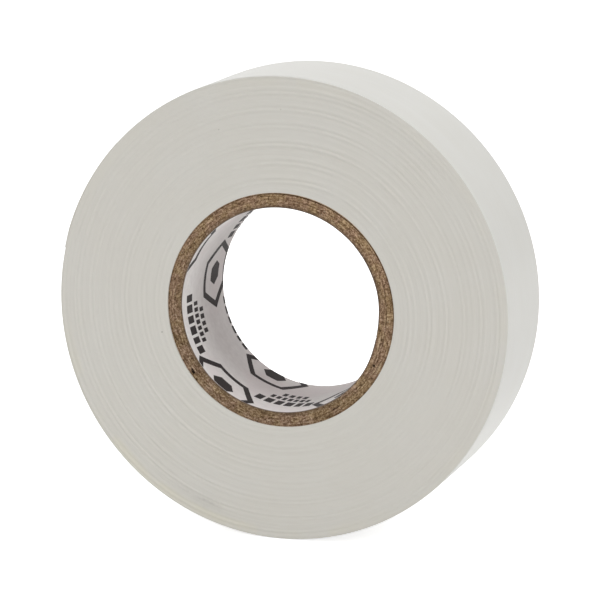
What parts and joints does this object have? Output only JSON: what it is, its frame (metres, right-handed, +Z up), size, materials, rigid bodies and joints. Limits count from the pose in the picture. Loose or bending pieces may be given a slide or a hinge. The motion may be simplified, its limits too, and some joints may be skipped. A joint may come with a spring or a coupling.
{
  "type": "electrical tape roll",
  "caption": "Roll of white vinyl electrical tape wound on a paperboard core with a printed paper liner, with an outer end that peels open.",
  "frame": {"origin": "on the winding axis, half way through the tape's width", "axes": "+Y along the winding axis, from the front side to the back side; +Z up, with the roll standing on its rim"},
  "size_m": [0.0719, 0.0193, 0.0721],
  "materials": {
    "vinyl_film": "satin white vinyl",
    "wound_edges": "matt slit edges of the wound strip",
    "adhesive": "tacky, slightly cloudy rubber adhesive",
    "paperboard": "raw brown paperboard",
    "liner_paper": "smooth white printed paper"
  },
  "bodies": {
    "roll": {"core_liner": "liner_paper", "core_ply_1": "paperboard", "core_ply_2": "paperboard", "core_ply_3": "paperboard", "core_ply_4": "paperboard", "tape_pack": "wound_edges", "outer_turn_film": "vinyl_film", "outer_turn_adhesive": "adhesive"},
    "free_end": {"free_end_film": "vinyl_film", "free_end_adhesive": "adhesive"}
  },
  "joints": [
    {"name": "free_end_peel", "type": "hinge", "parent": "roll", "child": "free_end", "pos_m": [-0.026, 0, 0.02508], "axis": [0, 1, 0], "range_deg": [0, 150]}
  ]
}
